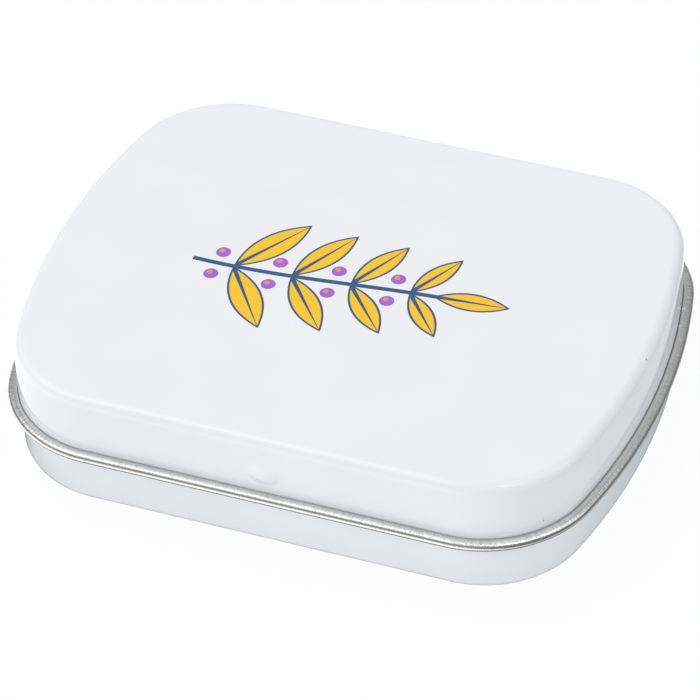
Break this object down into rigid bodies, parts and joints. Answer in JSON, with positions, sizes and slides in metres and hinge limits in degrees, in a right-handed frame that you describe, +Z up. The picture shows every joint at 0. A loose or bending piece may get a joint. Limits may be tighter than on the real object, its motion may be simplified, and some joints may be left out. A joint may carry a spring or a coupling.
{
  "type": "mint tin",
  "caption": "Flat pocket tin of white enamelled tinplate with bowed ends and a hinged lid whose edge is rolled into a bare metal bead.",
  "frame": {"origin": "middle of the flat bottom, on the surface that the tin stands on", "axes": "+X along the tin's length to the right end, +Y towards the hinge at the back, +Z up through the lid"},
  "size_m": [0.0604, 0.048, 0.0127],
  "materials": {
    "lid_enamel": "glossy white enamel outside, bare bright tinplate inside and on the rolled bead",
    "base_enamel": "glossy white enamel outside, bare bright tinplate inside and on the neck"
  },
  "bodies": {
    "base": {"base": "base_enamel"},
    "lid": {"lid": "lid_enamel"}
  },
  "joints": [
    {"name": "lid_hinge", "type": "hinge", "parent": "base", "child": "lid", "pos_m": [0, 0.02317, 0.0063], "axis": [-1, 0, 0], "range_deg": [0, 110]}
  ]
}
